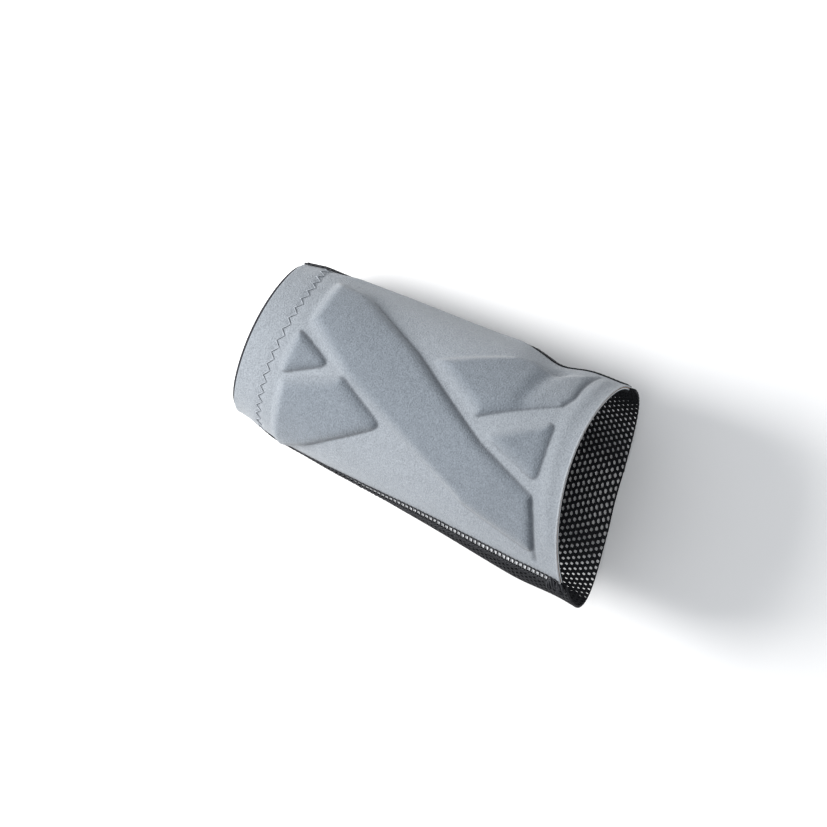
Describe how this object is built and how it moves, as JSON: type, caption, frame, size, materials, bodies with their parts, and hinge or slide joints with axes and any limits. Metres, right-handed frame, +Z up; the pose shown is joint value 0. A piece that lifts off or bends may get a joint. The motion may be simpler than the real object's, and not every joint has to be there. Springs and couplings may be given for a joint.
{
  "type": "cold compression sleeve",
  "caption": "Pull-on forearm sleeve with gel cold cells laminated into a stretch front panel and an open mesh back.",
  "frame": {"origin": "middle of the bottom of the whole sleeve's box, where it rests on its mesh back", "axes": "+X from the wrist end to the elbow end, +Y toward the upper seam, +Z up through the gel front"},
  "size_m": [0.165, 0.0852, 0.0751],
  "materials": {
    "face_jersey": "brushed grey-blue stretch jersey, heathered",
    "bonding_foam": "thin tan laminating foam",
    "pack_film": "thin soft welded film",
    "cold_gel": "soft translucent cold gel",
    "lining_tricot": "smooth black tricot lining",
    "back_mesh": "open black stretch mesh",
    "seam_thread": "black textured polyester thread",
    "zigzag_thread": "dark grey polyester thread"
  },
  "bodies": {
    "root": {"outer_face": "face_jersey", "backing_foam": "bonding_foam", "gel_pack_front_film": "pack_film", "gel_pack_back_film": "pack_film", "gel_cell_diagonal": "cold_gel", "gel_cell_wrist_wedge": "cold_gel", "gel_cell_lower_wedge": "cold_gel", "gel_cell_upper_wedge": "cold_gel", "gel_cell_elbow_wedge": "cold_gel", "inner_lining": "lining_tricot", "mesh_back": "back_mesh", "lower_seam_cover_thread": "seam_thread", "lower_seam_looper_thread": "seam_thread", "upper_seam_cover_thread": "seam_thread", "upper_seam_looper_thread": "seam_thread", "lower_seam_end_knot": "seam_thread", "wrist_zigzag_thread": "zigzag_thread"}
  },
  "joints": []
}
